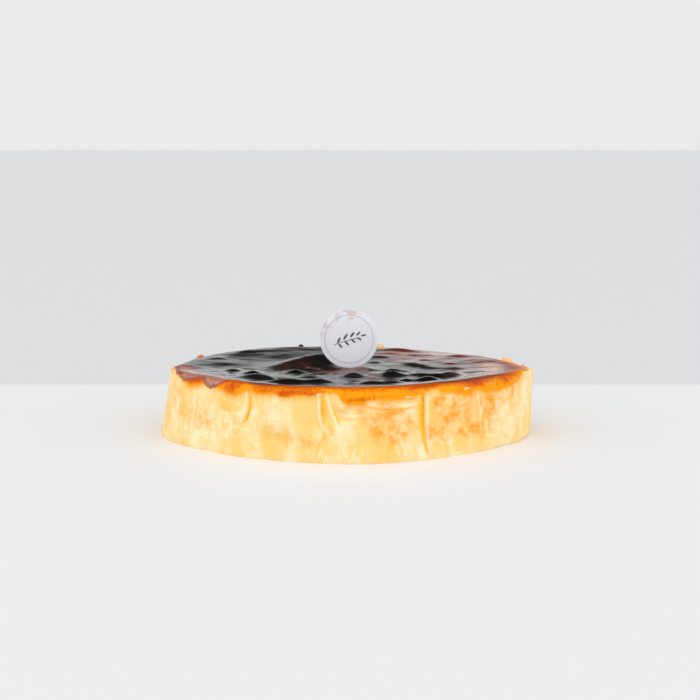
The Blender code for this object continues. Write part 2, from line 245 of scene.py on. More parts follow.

# The strip of skin that laps over the front face just under the rim, with painted shade along its lower edge
# and a painted highlight above it.
lap = {
    "angles": (-3.1, 4.6, 9.6, 13.7, 21.4),
    "heights": (30.7, 28.4, 26.5, 25.9, 27.4),
    "proud": 1.2, "edge": 0.3, "depth": 3.4, "end": 2.5,
    "tone": 0.55, "toneBelow": 0.4, "toneWidth": 0.55, "toneEnd": 17,
    "lit": 0.3, "litAbove": 1.4, "litWidth": 1.2,
}

# Faint upright wrinkles round the side: waves round the cake, start angle, depth.
sideWrinkles = ((9, 20, 0.45), (17, 75, 0.35), (29, 10, 0.22), (47, 140, 0.12))
wrinkleDrift = 0.9
wrinkleRise = 9

# Waves of the burnt top: middle x and y, half length, half width of the near and of the far side,
# heading of the length, height.
topWaves = (
    (-35, 2, 8, 3, 9, 66, 0.6), (-28, 10, 14, 7, 12, 68, 3.0), (-14, 23, 13, 9, 13, 50, 4.1),
    (-19, 7, 6, 2.5, 3, 70, 0.7), (-12, -8, 14, 10, 10, 30, -1.0), (-50, -21, 3.6, 3.6, 5, 35, 1.8),
    (-61, -9, 3.4, 3.6, 5, 0, 1.0), (-65, 14, 11, 8, 8, -8, 0.75), (-47, -44, 10.5, 6.4, 6, 36, 3.0),
    (30, -14, 9, 2.6, 5, -63, 0.9), (-34, -41, 3.5, 6, 6, 60, -0.9), (-30, -67, 8.5, 5.5, 8, -6, 2.8),
    (-14, -67, 8.5, 5.5, 8, 3, 3.2), (-28, -16, 4.2, 4, 5, 8, 1.8), (-20, -4, 4, 3, 4, 19, 0.9),
    (-20, -34, 4.6, 2.4, 3, 0, 0.7), (2, -34, 6, 5.2, 7, 0, 2.9), (7, -6, 5, 4, 5, -9, 1.5),
    (21.5, -28, 6.2, 4.0, 5.5, 0, 2.4), (22, -9, 2.4, 3, 4, -26, 1.0), (38.5, -29, 8, 3.2, 6, -50, 1.3),
    (46, -34, 5, 3.6, 6, 18, 1.3), (38, 9, 15, 3.4, 9, -60, 1.4), (55, -1, 12, 3.6, 8, 50, 0.9),
    (52, -27, 6, 6, 8, 10, 1.8), (29, -47, 2.8, 2.5, 4, 0, 1.1), (40, -47, 5.6, 3.8, 6, -6, 2.3),
    (9.5, -67, 7, 4, 6, 0, 2.2), (21.5, -66, 7, 4, 6, 4, 2.0), (30, 74, 11, 6, 7, 0, 1.3),
    (60, 51, 7, 6, 6, -10, 0.8), (70, 35, 6, 5, 6, -31, 0.2), (41, 33, 3.6, 3, 4, 0, 0.45),
    (55, 22, 3, 2.5, 3, 0, 0.35), (17, 44, 5, 3.6, 5, 0, 0.6), (14, 22, 3.4, 3, 4, 0, 0.6),
    (38, 52, 7, 4, 5, 6, 0.5), (24, 58, 6, 3, 4, 0, 0.5), (-60, 58, 7, 5, 6, 11, 0.8),
    (-72, 33, 5, 4, 5, -20, 0.5), (2, 1, 10, 7, 7, 0, 0.8), (-25, 76, 46, 42, 16, 8, 1.3),
    (66, -14, 9, 5, 7, 24, 0.35), (74, 8, 8, 5, 6, -30, 0.15), (-30, -52, 6, 5, 5, 60, -0.7),
    (12, -48, 5, 5, 5, 0, -0.6), (-70, -20, 14, 3, 4, -40, 0.5), (-74, -10, 12, 2.4, 3, -46, 0.4),
    (-62, -32, 12, 2.4, 3, -38, 0.4), (58, 10, 22, 14, 14, 0, -0.6),
    (-33, 44, 14, 10, 10, 10, 1.2), (11, -27, 3.6, 2.6, 5, 20, 0.9),
)

# Lower edge of the caramel that hangs down from the rim: angle, height.
caramelEdge = (
    (-180, 30.4), (-168, 31.6), (-160, 30.2), (-150, 31.8), (-135, 29.6), (-120, 32.0), (-108, 30.8),
    (-98, 33.4), (-90, 36.4), (-78, 36.4), (-74, 35.6), (-69.6, 34.6), (-64, 31.7), (-61.5, 30.0),
    (-59, 30.2), (-53, 32.9), (-49, 31.8), (-46, 32.4), (-43, 30.8), (-40.5, 29.3), (-37.5, 29.5),
    (-34.7, 31.6), (-32.8, 32.9), (-29.7, 31.6), (-27, 31.2), (-23, 32.4), (-21, 31.0), (-18, 31.1),
    (-14.7, 32.2), (-9.7, 32.8), (-6.7, 34.2), (-3.2, 33.6), (-2.3, 30.7), (-0.3, 28.6), (3.8, 29.0),
    (5.5, 30.2), (10.6, 31.0), (12.7, 30.2), (19, 30.2), (23.4, 33.5), (26.6, 33.6), (34, 31.5),
    (40, 28.8), (43, 29.9), (45.5, 31.2), (50, 29.0), (55, 28.6), (60, 29.5), (65, 31.4), (70, 33.3),
    (74, 35.6), (80, 36.6), (90, 36.0), (100, 32.0), (112, 30.6), (120, 31.8), (128, 30.2), (140, 31.6),
    (150, 29.6), (160, 31.4), (172, 30.0),
)
# Where the burnt skin starts: angle, millimetres in from the shoulder, or down over it below zero.
burnEdge = (
    (-180, -3.6), (-165.2, -3.2), (-163.7, -8.5), (-161.6, -8.5), (-160, -3.6), (-150, -4.0), (-135, -4.6),
    (-118, -3.6), (-104, -4.4), (-92, -2.0), (-84, 1.0), (-78, -0.2), (-75, -1.9), (-69.7, -3.6),
    (-66, -6.2), (-62, -5.8), (-58.4, -3.9), (-55.6, -3.8), (-53, -7.2), (-49, -8.2), (-46.5, -7.0),
    (-44.5, -2.2), (-42.5, 1.2), (-39, 0.2), (-34.4, -2.4), (-29.5, -2.9), (-20, -1.5), (7, -1.1),
    (17, -1.5), (25, -1.0), (32, -2.4), (47, -2.9), (56, -1.6), (65, 1.0), (72, 4.0), (82, 6.5),
    (95, 5.5), (110, 2.6), (126, 1.0), (142, -1.4), (160, -3.2), (172, -4.4),
)
# Zones of the side and shoulder: angle, height, half width in degrees, half height, strength.
# Deeper caramel, or paler where the strength is below zero.
deepZones = (
    (-39, 33.1, 5, 2.4, 0.6), (-34.5, 33.5, 2.6, 2.5, -0.9), (-20.5, 32.6, 3.2, 1.8, 0.9),
    (-27, 33.6, 4, 1.6, 0.6), (7.5, 32.8, 5, 2.2, 0.5), (-13, 34, 5, 1.2, 0.4), (-52, 34, 3, 3, -0.8),
    (-12, 33.4, 6, 1.2, 0.4), (2.3, 31.2, 4, 1.1, 0.6), (9, 34, 9, 1.5, -0.4), (-66, 33, 4, 4, 0.6),
    (31, 34, 5, 1.4, -0.4), (46.5, 34.5, 4, 1.7, 0.8), (26, 35.6, 6, 1, 0.7), (-58, 34, 5, 1.6, 0.5),
    (53, 34.5, 4, 1.6, -0.3), (60, 34, 3, 2, 0.4), (70, 33, 5, 3, 0.4), (100, 33, 14, 4, 0.5),
    (150, 33, 12, 3, 0.5), (-120, 33, 12, 4, 0.5), (-160, 33, 10, 3, 0.5),
)
# Painted highlights: small bright glints on the caramel.
paintedGlints = (
    (18, 31.7, 2.2, 0.6, 0.7), (21.6, 31.6, 1.2, 0.5, 0.6), (40.5, 32.9, 1.8, 0.8, 0.7),
    (-8.8, 33.4, 0.8, 1.0, 0.7), (33, 30.4, 4, 0.6, 0.7), (36, 29.2, 3, 0.5, 0.6),
    (52, 34.0, 2.0, 0.7, 0.4), (-33.2, 31.8, 0.5, 1.6, 0.6),
)
# Thin skin where it hangs over the shoulder: pinkish, with stripes, painted lighter and greyer as a sheen.
paintedSheenZones = (
    (-66, 35.0, 5, 3.6, 1.0), (-50.5, 35.0, 7, 4.0, 1.0), (-58, 37, 12, 1.8, 0.9),
    (-42, 37.4, 8, 1.4, 0.7), (60, 38.5, 22, 3.0, 0.5),
)
# Orange patches of the side.
orangePatches = (
    (33, 18, 9, 6, 0.75), (39.2, 27.6, 4, 4, 1.8), (28, 27, 3.4, 3, 0.6), (32, 29.6, 4, 1.6, 0.8),
    (27.5, 16.5, 2.4, 3, 0.7), (24.9, 14, 2, 4, 0.8),
    (31.6, 12, 2.6, 4, 0.9), (40.5, 13, 3.4, 4, 0.9), (46.4, 11, 1.8, 4, 0.9), (6, 27.6, 3, 2, 0.8),
    (-1.5, 26, 3, 3, 0.5), (-7.6, 27, 1.6, 4, 0.8), (47, 20, 2, 7, 0.5), (40, 31, 5, 1.8, 1.3),
    (12, 14, 5.5, 5.5, 0.95), (9, 22, 3.5, 5, 0.75), (10, 28.8, 1.6, 2.6, 1.1),
    (18.5, 21, 2.4, 3.0, 0.4), (12.5, 26, 4, 2.0, 1.1),
    (4, 24, 2, 5, 0.4), (-22, 14, 6, 5, 0.5), (-14, 10, 5, 3.5, 0.45), (51, 21, 4, 9, 0.95),
    (58, 26, 3, 4, 0.8), (63, 28, 1.4, 4, 0.7), (67, 27, 1.4, 3, 0.6), (-62, 20, 7, 9, 0.4),
    (-52, 15, 5, 5, 0.45), (-42, 23, 2.5, 3, 0.5), (-70, 27, 4, 6, 0.4), (100, 18, 11, 9, 0.6),
    (131, 20, 9, 8, 0.6), (170, 17, 12, 8, 0.6), (-110, 20, 10, 8, 0.5), (-145, 17, 12, 8, 0.6),
)
# Warmer yellow parts of the side, or cooler where the strength is below zero. The one at -84 below zero is
# painted light: the left edge made paler as if lit through from behind.
warmZones = (
    (-24, 8, 9, 6, 0.7), (-36, 22, 3.5, 14, 0.5), (9, 5, 9, 4, 0.7), (24, 18, 4, 12, 0.4),
    (-12, 26, 4, 6, 0.5), (60, 20, 8, 12, 0.4), (-62, 12, 8, 8, 0.1), (38, 8, 8, 5, 0.5),
    (-20, 33, 14, 3, 0.5), (30, 33, 20, 3, 0.5), (-100, 14, 20, 10, 0.5), (120, 12, 24, 10, 0.6),
    (175, 14, 24, 12, 0.6), (-140, 10, 20, 8, 0.6), (-9, 10, 4, 10, 0.6), (0, 27, 5, 5, 1.2),
    (3, 20, 6, 7, 0.7), (7, 9, 5, 6, 1.0), (28, 17, 4, 6, 0.9), (48, 13, 4, 9, 1.1), (-5, 21, 3, 6, 0.8),
    (32, 5, 8, 4, 0.6), (80, 14, 6, 14, 0.5), (-84, 20, 12, 20, -1.0), (-14, 27, 4, 5, 0.7),
    (-41.5, 22, 4, 9, 1.0), (26, 17, 2, 8, 0.7),
)
# Small pale runs at the foot.
dribbleZones = (
    (-1, 3, 6, 6, 1.0), (14, 6, 3, 5, 0.8), (-8, 8, 3, 8, 0.7), (-70, 18, 16, 14, 0.55),
    (-44, 16, 4, 12, 0.5), (72, 18, 10, 12, 0.3), (22, 4, 4, 5, 0.5), (150, 14, 26, 12, 0.4),
    (-130, 14, 24, 12, 0.4),
)
# Zones of the top: middle x and y, half width, half depth, share.
# Where it is browner and less black.
brownZones = (
    (90, -2, 19, 44, 1.9), (60, -6, 24, 40, 0.24), (24, 60, 12, 8, 0.8), (33, 36, 14, 12, 0.5),
    (52, 60, 26, 20, 0.75), (12, 84, 30, 9, 0.55),
    (-8, -10, 14, 9, 0.66), (30, -8, 18, 12, 0.16), (82, -32, 12, 20, 0.5), (44, 26, 30, 14, 0.3),
    (12, -36, 2.0, 4, 0.66), (-33, -4, 5, 6, 0.36), (-24, 4, 6, 7, 0.38), (8, -6, 8, 6, 0.40),
    (10, -44, 4, 4, 0.4), (11, -31, 4, 5, 0.5), (60, -32, 8, 6, 0.3), (-86, -11, 8, 10, 1.1),
    (28, 80, 13, 7, 0.9), (62, 60, 12, 8, 0.6), (74, 42, 9, 9, 0.6), (48, 66, 8, 5, 0.4),
    (38, -70, 8, 5, 0.5), (8, -84, 40, 3, 0.5),
    (-82, -34, 9, 9, 0.95), (-71, -54, 11, 9, 0.95), (-52, -70, 9, 5, 0.4),
)
# Where it is duller.
dullZones = (
    (-22, 46, 44, 28, 0.75), (-66, 14, 22, 10, 0.5), (40, 6, 20, 12, 0.4), (-34, -52, 16, 12, 0.3),
    (-86, -9, 8, 11, 1.0), (-10, -8, 10, 8, 0.6), (12, -38, 2.4, 4, 0.8), (88, -8, 9, 30, 0.75),
    (30, 78, 12, 6, 0.5), (70, 48, 12, 10, 0.4), (24, 60, 12, 8, 0.5),
)
# Where the burnt skin's edge fades out over more: angle, half width, extra millimetres.
burnSoftness = ((78, 32, 12), (140, 30, 5))


def bell(offset, width):
    return np.exp(-((offset / width) ** 2))


def blunt(offset, width):
    # As a bell, but with a flatter top and steeper ends.
    return np.exp(-(np.abs(offset / width) ** 4))


def eased(value, low, high):
    # From 0 at low to 1 at high, flat at both ends.
    share = np.clip((value - low) / (high - low), 0, 1)
    return share * share * (3 - 2 * share)


def turn(angle, start):
    # Shortest turn in degrees from start to angle.
    return (angle - start + 180) % 360 - 180


def summed(angle, level, swells):
    # A level round the cake with its local swells.
    return level + sum(rise * bell(turn(angle, at), width) for at, width, rise in swells)


def softNoise(points, grain, seed):
    # Seeded soft noise from -1 to 1 in space, with lumps of grain (x, y, z).
    size = 64
    lattice = np.random.default_rng(seed).uniform(-1, 1, (size, size, size))
    scaled = points / np.array(grain)
    cell = np.floor(scaled).astype(int)
    part = scaled - cell
    part = part * part * (3 - 2 * part)
    total = np.zeros(points.shape[:-1])
    for corner in np.ndindex(2, 2, 2):
        weight = np.prod(np.where(corner, part, 1 - part), axis=-1)
        i, j, k = np.moveaxis((cell + corner) % size, -1, 0)
        total = total + weight * lattice[i, j, k]
    return total


def layered(points, layers):
    return sum(share * softNoise(points, grain, seed) for grain, seed, share in layers)


def plan(angle, radius, height):
    # Millimetres round the card's foot, as points in space.
    turned = np.radians(angle)
    height = height + 0.0 * radius
    return np.stack((radius * np.sin(turned), -radius * np.cos(turned), height), axis=-1)


def rimHeight(angle):
    tilt = cake["rimTilt"] * np.cos(np.radians(angle))
    return summed(angle, cake["rimHeight"], cake["rimSwells"]) + tilt


def shoulderWidth(angle):
    return summed(angle, cake["shoulderWidth"], cake["shoulderChanges"])


def alongFold(height, fold):
    return np.interp(height, fold["heights"][::-1], fold["angles"][::-1])


def foldSides(angle, height, fold):
    # Millimetres across the fold, and how far it has faded at its ends.
    across = np.radians(turn(angle, alongFold(height, fold))) * cake["bodyRadius"] * fold["facing"]
    top, bottom = fold["heights"][0], fold["heights"][-1]
    fade = np.clip((height - bottom) / foldFade, 0, 1) * np.clip((top - height) / foldFade, 0, 1)
    return across, fade


def foldRelief(angle, height, fold):
    across, fade = foldSides(angle, height, fold)
    proudSide = 0.5 + 0.5 * np.tanh(across / foldEdge)
    raised = fold["proud"] * np.exp(-np.abs(across) / proudSpread)
    sunk = fold["groove"] * np.exp(-np.abs(across) / grooveSpread)
    strength = fade * np.interp(height, fold["heights"][::-1], fold["strengths"][::-1])
    return strength * (proudSide * raised - (1 - proudSide) * sunk)


def lapRelief(angle, height):
    # The lapping strip: proud above its lower edge, and thinning out into the shoulder.
    edge = np.interp(angle, lap["angles"], lap["heights"])
    leftEnd = np.clip(turn(angle, lap["angles"][0]) / lap["end"], 0, 1)
    rightEnd = np.clip(turn(lap["angles"][-1] + lap["end"], angle) / lap["end"], 0, 1)
    above = 0.5 + 0.5 * np.tanh((height - edge) / lap["edge"])
    return lap["proud"] * leftEnd * rightEnd * above * np.exp(-np.maximum(height - edge, 0) / lap["depth"])


def wrinkleRelief(angle, height):
    relief = 0.0 * angle
    for count, start, depth in sideWrinkles:
        drift = wrinkleDrift * np.sin(height / wrinkleRise + count)
        relief = relief + depth * np.sin(np.radians(count * angle + start) + drift)
    return relief


def sideRadius(angle, height, foldShare=1.0):
    radius = summed(angle, cake["bodyRadius"], cake["corners"])
    radius = radius - summed(angle, cake["lean"], cake["leanChanges"]) * height / cake["rimHeight"]
    radius = radius - cake["footTuck"] * np.exp(-height / cake["footTuckHeight"])
    tuck = cake["rightTuck"] * bell(turn(angle, cake["rightTuckAngle"]), cake["rightTuckWidth"])
    radius = radius - tuck * np.exp(-height / cake["rightTuckHeight"])
    radius = radius + wrinkleRelief(angle, height) + foldShare * lapRelief(angle, height)
    for fold in paperFolds + smallCreases:
        radius = radius + foldShare * foldRelief(angle, height, fold)
    return radius


def columnAngles(angle, height):
    # Even columns, drawn aside so that four of them run down each fold.
    step = 360 / (4 * cake["topCells"])
    knots = []
    for fold in paperFolds:
        middle = np.mean(fold["angles"])
        along = float(alongFold(height, fold))
        for i, offset in enumerate(foldColumns):
            column = step * (round(middle / step - 0.5) + i - 1)
            knots.append((column, along + np.degrees(offset / cake["bodyRadius"])))
    knots.sort()
    evens, drawn = np.array(knots).T
    evens = np.concatenate((evens[-2:] - 360, evens, evens[:2] + 360))
    drawn = np.concatenate((drawn[-2:] - 360, drawn, drawn[:2] + 360))
    return np.interp(turn(angle, 0), evens, drawn)


def shoulderRing(angle, share):
    # The rounded rim, from the top of the side (0) to the edge of the top (1).
    rim = rimHeight(angle)
    start = rim - cake["shoulderHeight"]
    swing = share * pi / 2
    radius = sideRadius(angle, start, 1 - share) - shoulderWidth(angle) * (1 - np.cos(swing))
    height = start + cake["shoulderHeight"] * np.sin(swing)
    for at, width, stand, reach, pale in cake["flakes"]:
        lip = blunt(turn(angle, at), width) * bell(np.degrees(swing), reach)
        height = height + lip * (rim + stand - height)
    return radius, height


def waveHeight(x, y, wave):
    middleX, middleY, length, nearWidth, farWidth, heading, height = wave
    along = (x - middleX) * np.cos(radians(heading)) + (y - middleY) * np.sin(radians(heading))
    across = (y - middleY) * np.cos(radians(heading)) - (x - middleX) * np.sin(radians(heading))
    return height * bell(along, length) * bell(across, np.where(across < 0, nearWidth, farWidth))


def topPoint(angle, share):
    # A point of the burnt top: share runs from its middle (0) to the inner edge of the rim (1).
    edgeRadius, edgeHeight = shoulderRing(angle, 1.0)
    radius = share * edgeRadius
    x = radius * np.sin(np.radians(angle))
    y = -radius * np.cos(np.radians(angle))
    height = cake["topMiddle"] + (edgeHeight - cake["topMiddle"]) * eased(share, cake["dishEdge"], 1)
    calm = eased(1 - share, 0, cake["waveEdge"])
    for wave in topWaves:
        height = height + calm * waveHeight(x, y, wave)
    flat = np.stack((x, y, 0 * x), axis=-1)
    height = height + calm * cake["topUneven"] * layered(flat, topRipples)
    return radius, dimpled(x, y, height)


def dimpled(x, y, height):
    # The skin dips where the card was pressed in, just clear of the card's foot.
    foot = card["foot"] + card["radius"] - np.sqrt(np.maximum(card["radius"] ** 2 - x ** 2, 0))
    beside = np.maximum(np.abs(y) - card["thickness"] / 2 - card["gap"], 0)
    dip = bell(beside, card["dimple"]) * (np.abs(x) < card["radius"])
    return height - dip * np.maximum(height - foot + card["gap"], 0)


def squareToDisc(across, along):
    # Even square cells drawn out to a disc: the angle and the share of the radius.
    wide = np.abs(across) > np.abs(along)
    share = np.where(wide, across, along)
    other = np.where(wide, along, across)
    bend = (pi / 4) * other / np.where(share == 0, 1, share)
    sweep = np.where(wide, bend, pi / 2 - bend)
    x, y = share * np.cos(sweep), share * np.sin(sweep)
    return np.degrees(np.arctan2(x, -y)), np.hypot(x, y)


def skinSheets():
    # Points (row by row, in millimetres) of the side and shoulder, and of the top's inner cells.
    count = 4 * cake["topCells"]
    even = turn(360 * np.arange(count) / count, 0)
    rows = []
    for row in range(cake["sideRows"]):
        share = row / cake["sideRows"]
        angle = columnAngles(even, cake["rimHeight"] * share)
        height = share * (rimHeight(angle) - cake["shoulderHeight"])
        points = plan(angle, sideRadius(angle, height), height)
        uneven = cake["sideUneven"] * min(share * cake["lumpRise"], 1)
        radius = np.hypot(points[:, 0], points[:, 1]) + uneven * layered(points, sideLumps)
        rows.append((angle, radius, height))
    angle = columnAngles(even, cake["rimHeight"])
    for row in range(cake["shoulderRows"] + 1):
        share = row / cake["shoulderRows"]
        radius, height = shoulderRing(angle, share)
        lumps = layered(plan(angle, radius, height), sideLumps)
        radius = radius + cake["sideUneven"] * (1 - share) * lumps
        rows.append((angle, radius, height))
    return [np.array(part) for part in zip(*rows)]


def topGrid():
    cells = cake["topCells"]
    line = 2 * np.arange(cells + 1) / cells - 1
    across, along = np.meshgrid(line, line, indexing="ij")
    return squareToDisc(across, along)


def cakeMesh():
    angles, radii, heights = skinSheets()
    ringCount, count = angles.shape
    cells = cake["topCells"]
    gridAngle, gridShare = topGrid()
    inner = np.zeros(gridAngle.shape, bool)
    inner[1:-1, 1:-1] = True
    topAngle = columnAngles(gridAngle[inner], cake["rimHeight"])
    topShare = gridShare[inner]
    topRadius, topHeight = topPoint(topAngle, topShare)
    ids = np.zeros(gridAngle.shape, int)
    edgeColumn = np.rint(gridAngle % 360 * count / 360).astype(int) % count
    ids[~inner] = (ringCount - 1) * count + edgeColumn[~inner]
    ids[inner] = ringCount * count + np.arange(inner.sum())
    angle = np.concatenate((angles.ravel(), topAngle))
    radius = np.concatenate((radii.ravel(), topRadius))
    height = np.concatenate((heights.ravel(), topHeight))
    points = plan(angle, radius, height)
    rings = np.arange(ringCount * count).reshape(ringCount, count)
    near, far = rings[:-1], rings[1:]
    skin = np.stack((near, np.roll(near, -1, 1), np.roll(far, -1, 1), far), axis=-1).reshape(-1, 4)
    top = np.stack((ids[:-1, :-1], ids[1:, :-1], ids[1:, 1:], ids[:-1, 1:]), axis=-1).reshape(-1, 4)
    footMiddle = len(points)
    points = np.vstack((points, (0, 0, 0)))
    foot = np.stack((np.roll(rings[0], -1), rings[0], np.full(count, footMiddle)), axis=-1)
    faces = [*skin.tolist(), *top.tolist(), *foot.tolist()]
    data = bpy.data.meshes.new("bakedCake")
    placed = (points + (cake["footX"], cake["footY"], 0)) * mm
    data.from_pydata(placed.tolist(), [], faces)
    data.update()
    data.shade_smooth()
    data.set_sharp_from_angle(angle=radians(cake["creaseAngle"]))
    measures = browning(angles, radii, heights, topAngle, topShare, topRadius, topHeight)
    for name, values in measures.items():
        layer = data.attributes.new(name, "FLOAT", "POINT")
        layer.data.foreach_set("value", np.append(values, 0.0).astype(np.float32))
    return data


def browning(angles, radii, heights, topAngle, topShare, topRadius, topHeight):
    # What the finish needs to know at each point of the skin.
    ringPoints = plan(angles, radii, heights)
    steps = np.linalg.norm(np.diff(ringPoints, axis=0), axis=-1)
    climbed = np.concatenate((np.zeros((1, angles.shape[1])), np.cumsum(steps, axis=0)))
    shoulderEnd = climbed[-1]
    lowEdge = np.interp(angles, *zip(*caramelEdge), period=360)
    above = heights > lowEdge
    edgeRow = np.where(above.any(axis=0), np.argmax(above, axis=0), len(heights) - 1)
    edgeClimb = np.take_along_axis(climbed, edgeRow[None], axis=0)[0]
    burnAt = np.interp(angles[-1], *zip(*burnEdge), period=360)
    softness = summed(angles[-1], cake["burnFade"], burnSoftness)
    order = np.argsort(angles[-1])

    def fromColumns(values):
        return np.interp(topAngle, angles[-1][order], values[order], period=360)

    leastShare = 0.01           # keeps the middle of the top from dividing by nothing
    inward = (1 - topShare) * topRadius / np.maximum(topShare, leastShare)
    topClimb = fromColumns(shoulderEnd) + inward
    travel = np.concatenate(((climbed - edgeClimb).ravel(), topClimb - fromColumns(edgeClimb)))
    burn = np.concatenate(((climbed - shoulderEnd - burnAt).ravel(), inward - fromColumns(burnAt)))
    # groove is painted shade in the creases and along the lap's lower edge; lit is a painted highlight on
    # each fold's proud edge and above the lap's edge.
    groove, lit = 0.0 * angles, 0.0 * angles
    for fold in paperFolds + smallCreases:
        across, fade = foldSides(angles, heights, fold)
        strength = fade * np.interp(heights, fold["heights"][::-1], fold["strengths"][::-1])
        sunkSide = 0.5 - 0.5 * np.tanh((across + paintedFoldLight["shift"]) / paintedFoldLight["edge"])
        wide = fold["tone"] * np.maximum(strength, paintedFoldLight["least"])
        groove = np.maximum(groove, np.sqrt(strength) * sunkSide * bell(across, wide))
        lit = np.maximum(lit, strength * bell(across - paintedFoldLight["litEdge"], paintedFoldLight["litWidth"]))
    overEdge = heights - np.interp(angles, lap["angles"], lap["heights"])
    lapStart, lapEnd = lap["angles"][0], lap["angles"][-1]
    onLap = eased(angles, lapStart, lap["angles"][1]) * eased(angles, lapEnd, lap["toneEnd"])
    groove = np.maximum(groove, lap["tone"] * onLap * bell(overEdge + lap["toneBelow"], lap["toneWidth"]))
    lit = np.maximum(lit, lap["lit"] * onLap * bell(overEdge - lap["litAbove"], lap["litWidth"]))

    def spread(zones):
        total = 0.0 * angles
        for at, level, width, depth, strength in zones:
            total = total + strength * bell(turn(angles, at), width) * bell(heights - level, depth)
        return total

    flake = 0.0 * angles
    below = np.maximum(rimHeight(angles) - heights, 0)
    for at, width, *_, pale in cake["flakes"]:
        lip = blunt(turn(angles, at), width * cake["flakeSpread"]) * bell(below, cake["flakeDepth"])
        flake = np.maximum(flake, pale * lip)
    flake[-cake["shoulderRows"] // 2:] = 0
    topPoints = plan(topAngle, topRadius, topHeight)
    skinX, skinY = np.vstack((ringPoints.reshape(-1, 3), topPoints)).T[:2]

    def fromAbove(zones):
        return [share * bell(skinX - x, width) * bell(skinY - y, depth)
                for x, y, width, depth, share in zones]

    def withBareTop(values):
        return np.concatenate((values.ravel(), np.zeros(len(topAngle))))

    return {
        "travel": travel,
        "burn": burn,
        "groove": withBareTop(groove),
        "lit": withBareTop(lit),
        "warm": withBareTop(spread(warmZones)),
        "dribble": withBareTop(np.minimum(spread(dribbleZones), 1)),
        "deep": withBareTop(spread(deepZones)),
        "glintSpots": withBareTop(spread(paintedGlints)),
        "paintedSheen": withBareTop(np.minimum(spread(paintedSheenZones), 1)),
        "patch": withBareTop(np.minimum(spread(orangePatches), 1)),
        "flake": withBareTop(flake),
        "brown": np.sum(fromAbove(brownZones), axis=0),
        "dull": np.max(fromAbove(dullZones), axis=0),
        "soft": np.concatenate((np.tile(softness, len(angles)), fromColumns(softness))),
    }


# Cake: its finish

cakeColours = {
    "custard": colour(255, 222, 162),
    "custardWarm": colour(255, 211, 128),
    "custardPale": colour(255, 235, 190),
    # The pale of the runs at the foot, also used as the painted highlight on the folds' lit edges.
    "paleRunAndHighlight": colour(255, 241, 206),
    "orangePatch": colour(253, 166, 52),
    # Painted shade in the creases, from soft to deep; the soft one also tints the side's streaks.
    "streakAndGrooveShade": colour(252, 196, 78),
    "groove": colour(250, 198, 34),
    "grooveShadeDeep": colour(218, 152, 12),
    "gold": colour(252, 158, 10),
    "caramel": colour(226, 112, 2),
    "caramelDeep": colour(196, 78, 2),
    "rust": colour(166, 56, 6),
    "rimPink": colour(178, 96, 66),
    # Painted highlight: the glints on the caramel.
    "glint": colour(255, 238, 198),
    # Painted sheen over the shoulder's thin skin, in two stripes.
    "greyBrown": colour(180, 106, 78),
    "greyPink": colour(206, 152, 130),
    "tan": colour(190, 116, 76),
    "blush": colour(232, 166, 122),
    "redBrown": colour(122, 42, 14),
    "darkBrown": colour(58, 22, 9),
    "burnt": colour(9, 4, 3),
}


# Noises: stretch along x, y and z, grain in millimetres, detail, roughness, distortion.
skinNoises = {
    "broad": ((1, 1, 1), 22, 3, 0.5, 0.0),
    "lumps": ((1, 1, 1), 6, 4, 0.55, 0.4),
    "fine": ((1, 1, 1), 2.2, 4, 0.6, 0.0),
    "streaks": ((1, 1, 0.35), 3.2, 4, 0.6, 0.0),
    "brushed": ((1, 1, 0.22), 1.8, 4, 0.6, 0.0),
    "level": ((0.25, 0.25, 1), 2.6, 3, 0.6, 0.0),
    "clouds": ((1, 1, 0.6), 11, 3, 0.5, 0.6),
    "stripes": ((1, 1, 0.4), 1.1, 3, 0.6, 0.0),
    "ripple": ((0.6, 1.2, 1), 2.4, 4, 0.7, 0.5),
    "pits": ((1, 1, 1), 1.9, 1, 0.5, 0.0),
}
# Colours mixed in as a level rises: the colour, the level where it starts, where it is full, its share.
skinSteps = {
    "warm": (("custardWarm", 0.0, 0.9, 1),),
    "clouds": (("custardWarm", 0.48, 0.66, 0.9),),
    "pale": (("custardPale", 0.50, 0.38, 1),),
    "groove": (("streakAndGrooveShade", 0.0, 0.45, 0.7), ("groove", 0.30, 0.75, 1), ("grooveShadeDeep", 0.80, 1.05, 0.8)),
    "halo": (("orangePatch", -3.4, 0.3, 0.6),),
    "caramel": (("caramel", 0.18, 0.66, 1), ("caramelDeep", 0.62, 1.05, 1), ("rust", 1.10, 1.6, 1)),
    "glintSpots": (("glint", 0.25, 0.75, 1),),
    "dark": (("darkBrown", 0.14, 0.42, 1),),
    "brown": (("redBrown", 0.30, 0.75, 1), ("tan", 0.70, 1.10, 1), ("blush", 1.05, 1.50, 1)),
}
# Levels between which the other shares go from none to full.
skinRanges = {
    "streaks": (0.50, 0.68),
    "runs": (0.48, 0.40),
    "spots": (0.40, 0.61),
    "patch": (0.02, 0.70),
    "inGroove": (0.05, 0.3),
    "onCaramel": (-0.9, 0.9),
    "glossy": (-1, 1.5),
    "rimStart": (-2.0, -0.8),
    "rimEnd": (1.0, 0.0),
    "onBurnt": (-0.6, 0.3),
    "wellBurnt": (0.1, 1.0),
    "paintedSheen": (-0.3, 0.5),
    "stripes": (0.40, 0.60),
    "flake": (0.25, 0.5),
    "pits": (0.66, 0.72),
}
# How far each noise swings a level.
skinSwings = {
    "raggedFine": 1.6, "raggedLumps": 2.4, "warmBroad": 1.2, "warmLumps": 0.8, "grooveFine": 0.9,
    "caramelBrushed": 1.3, "caramelBroad": 0.8, "darkLumps": 0.3, "brownLumps": 0.6, "roughFine": 0.06,
}
